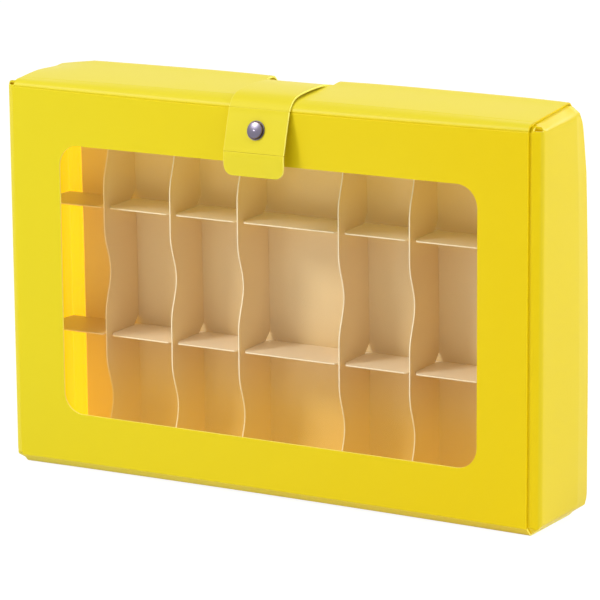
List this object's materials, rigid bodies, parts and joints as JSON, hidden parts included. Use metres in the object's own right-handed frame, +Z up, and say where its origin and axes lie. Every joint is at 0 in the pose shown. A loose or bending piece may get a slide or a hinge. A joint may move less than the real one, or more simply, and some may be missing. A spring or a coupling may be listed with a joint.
{
  "type": "divided storage case",
  "caption": "Slim upright display case of folded plastic sheet with a windowed hinged front, a grid of compartments inside and a snap strap over the top.",
  "frame": {"origin": "on the surface that the case stands on, under the middle of its overall box", "axes": "+X to the right seen from the front, +Y to the back, +Z up"},
  "size_m": [0.33, 0.0702, 0.223],
  "materials": {
    "yellow_sheet": "fine matte polypropylene sheet",
    "frosted_sheet": "milky frosted polypropylene sheet",
    "clear_film": "clear gloss film",
    "snap_steel": "polished steel"
  },
  "bodies": {
    "case": {"base_wrap": "yellow_sheet", "left_side": "yellow_sheet", "right_side": "yellow_sheet", "back_liner": "frosted_sheet", "divider_1": "frosted_sheet", "divider_2": "frosted_sheet", "divider_3": "frosted_sheet", "divider_4": "frosted_sheet", "divider_5": "frosted_sheet", "divider_6": "frosted_sheet", "shelf_1": "frosted_sheet", "shelf_2": "frosted_sheet"},
    "lid": {"lid_panel": "yellow_sheet", "window_sheet": "clear_film", "snap_stud": "snap_steel", "snap_post": "snap_steel"},
    "strap": {"strap_top": "yellow_sheet"},
    "leg": {"strap_leg": "yellow_sheet", "snap_cap": "snap_steel", "snap_socket": "snap_steel"},
    "tab": {"strap_tab": "yellow_sheet"}
  },
  "joints": [
    {"name": "lid_hinge", "type": "hinge", "parent": "case", "child": "lid", "pos_m": [0, -0.02635, 0.005], "axis": [1, 0, 0], "range_deg": [0, 90]},
    {"name": "strap_lift", "type": "hinge", "parent": "case", "child": "strap", "pos_m": [0, 0.03465, 0.197], "axis": [-1, 0, 0], "range_deg": [0, 90]},
    {"name": "leg_fold", "type": "hinge", "parent": "strap", "child": "leg", "pos_m": [0, -0.02817, 0.21366], "axis": [-1, 0, 0], "range_deg": [0, 100]},
    {"name": "tab_bend", "type": "hinge", "parent": "leg", "child": "tab", "pos_m": [0, -0.03465, 0.1908], "axis": [-1, 0, 0], "range_deg": [0, 45]}
  ]
}
